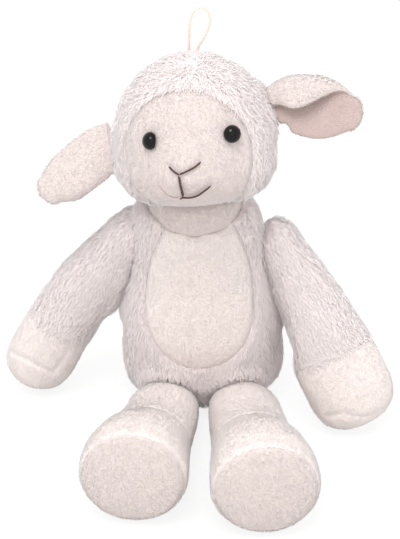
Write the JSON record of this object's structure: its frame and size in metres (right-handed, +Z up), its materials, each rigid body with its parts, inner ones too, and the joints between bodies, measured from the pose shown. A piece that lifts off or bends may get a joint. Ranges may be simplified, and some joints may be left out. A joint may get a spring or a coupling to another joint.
{
  "type": "plush sheep",
  "caption": "Seated plush sheep with a fleecy hood and body, smooth face, belly and feet, drooping ears, glossy eyes and a cord loop on the crown.",
  "frame": {"origin": "the middle of the flat under the body, on the surface that the toy sits on", "axes": "+Z up, -Y the way the face looks and the legs point, +X the toy's own left"},
  "size_m": [0.2632, 0.2305, 0.2841],
  "materials": {
    "long_pile": "long soft pile, matte",
    "short_pile": "short smooth pile, matte",
    "lining": "short pile, matte",
    "stuffing": "loose polyester fibre",
    "cord": "twisted cotton",
    "eye": "glossy",
    "washer": "matte",
    "pellets": "matte"
  },
  "bodies": {
    "body": {"body_cover": "long_pile", "belly_panel": "short_pile", "body_stuffing": "stuffing", "pellet_bag": "pellets", "tail": "long_pile"},
    "neck": {"neck_pad": "long_pile"},
    "head": {"head_cover": "long_pile", "face_panel": "short_pile", "head_stuffing": "stuffing", "eye_left": "eye", "eye_right": "eye", "eye_washer_left": "washer", "eye_washer_right": "washer", "hanging_loop": "cord"},
    "ear_left": {"ear_left_outer": "short_pile", "ear_left_lining": "lining"},
    "ear_right": {"ear_right_outer": "short_pile", "ear_right_lining": "lining"},
    "arm_left": {"arm_left_sleeve": "long_pile", "arm_left_mitt": "short_pile", "arm_left_stuffing": "stuffing"},
    "leg_left": {"leg_left_sleeve": "short_pile", "leg_left_foot": "short_pile", "leg_left_sole": "short_pile", "leg_left_stuffing": "stuffing"},
    "arm_right": {"arm_right_sleeve": "long_pile", "arm_right_mitt": "short_pile", "arm_right_stuffing": "stuffing"},
    "leg_right": {"leg_right_sleeve": "short_pile", "leg_right_foot": "short_pile", "leg_right_sole": "short_pile", "leg_right_stuffing": "stuffing"}
  },
  "joints": [
    {"name": "head_turn", "type": "hinge", "parent": "body", "child": "neck", "pos_m": [-0.006, -0.004, 0.157], "axis": [0, 0, 1], "range_deg": [-50, 50], "stiffness_Nm_per_rad": 0.3},
    {"name": "head_nod", "type": "hinge", "parent": "neck", "child": "head", "pos_m": [-0.006, -0.004, 0.157], "axis": [1, 0, 0], "range_deg": [-7, 12], "stiffness_Nm_per_rad": 0.4},
    {"name": "arm_left_swing", "type": "hinge", "parent": "body", "child": "arm_left", "pos_m": [0.048, -0.001, 0.122], "axis": [1, 0, 0], "range_deg": [-105, 45], "stiffness_Nm_per_rad": 0.15},
    {"name": "arm_right_swing", "type": "hinge", "parent": "body", "child": "arm_right", "pos_m": [-0.048, 0.003, 0.1265], "axis": [1, 0, 0], "range_deg": [-105, 45], "stiffness_Nm_per_rad": 0.15},
    {"name": "leg_left_swing", "type": "hinge", "parent": "body", "child": "leg_left", "pos_m": [0.0252, -0.041, 0.0175], "axis": [1, 0, 0], "range_deg": [-25, 90], "stiffness_Nm_per_rad": 0.25},
    {"name": "leg_right_swing", "type": "hinge", "parent": "body", "child": "leg_right", "pos_m": [-0.0252, -0.041, 0.0175], "axis": [1, 0, 0], "range_deg": [-25, 90], "stiffness_Nm_per_rad": 0.25},
    {"name": "ear_left_fold", "type": "hinge", "parent": "head", "child": "ear_left", "pos_m": [0.0455, -0.00731, 0.23026], "axis": [0.2992, -0.5809, -0.757], "range_deg": [-30, 30], "stiffness_Nm_per_rad": 0.02},
    {"name": "ear_right_fold", "type": "hinge", "parent": "head", "child": "ear_right", "pos_m": [-0.05916, -0.00678, 0.19734], "axis": [0.1827, -0.5803, -0.7936], "range_deg": [-20, 30], "stiffness_Nm_per_rad": 0.02}
  ]
}
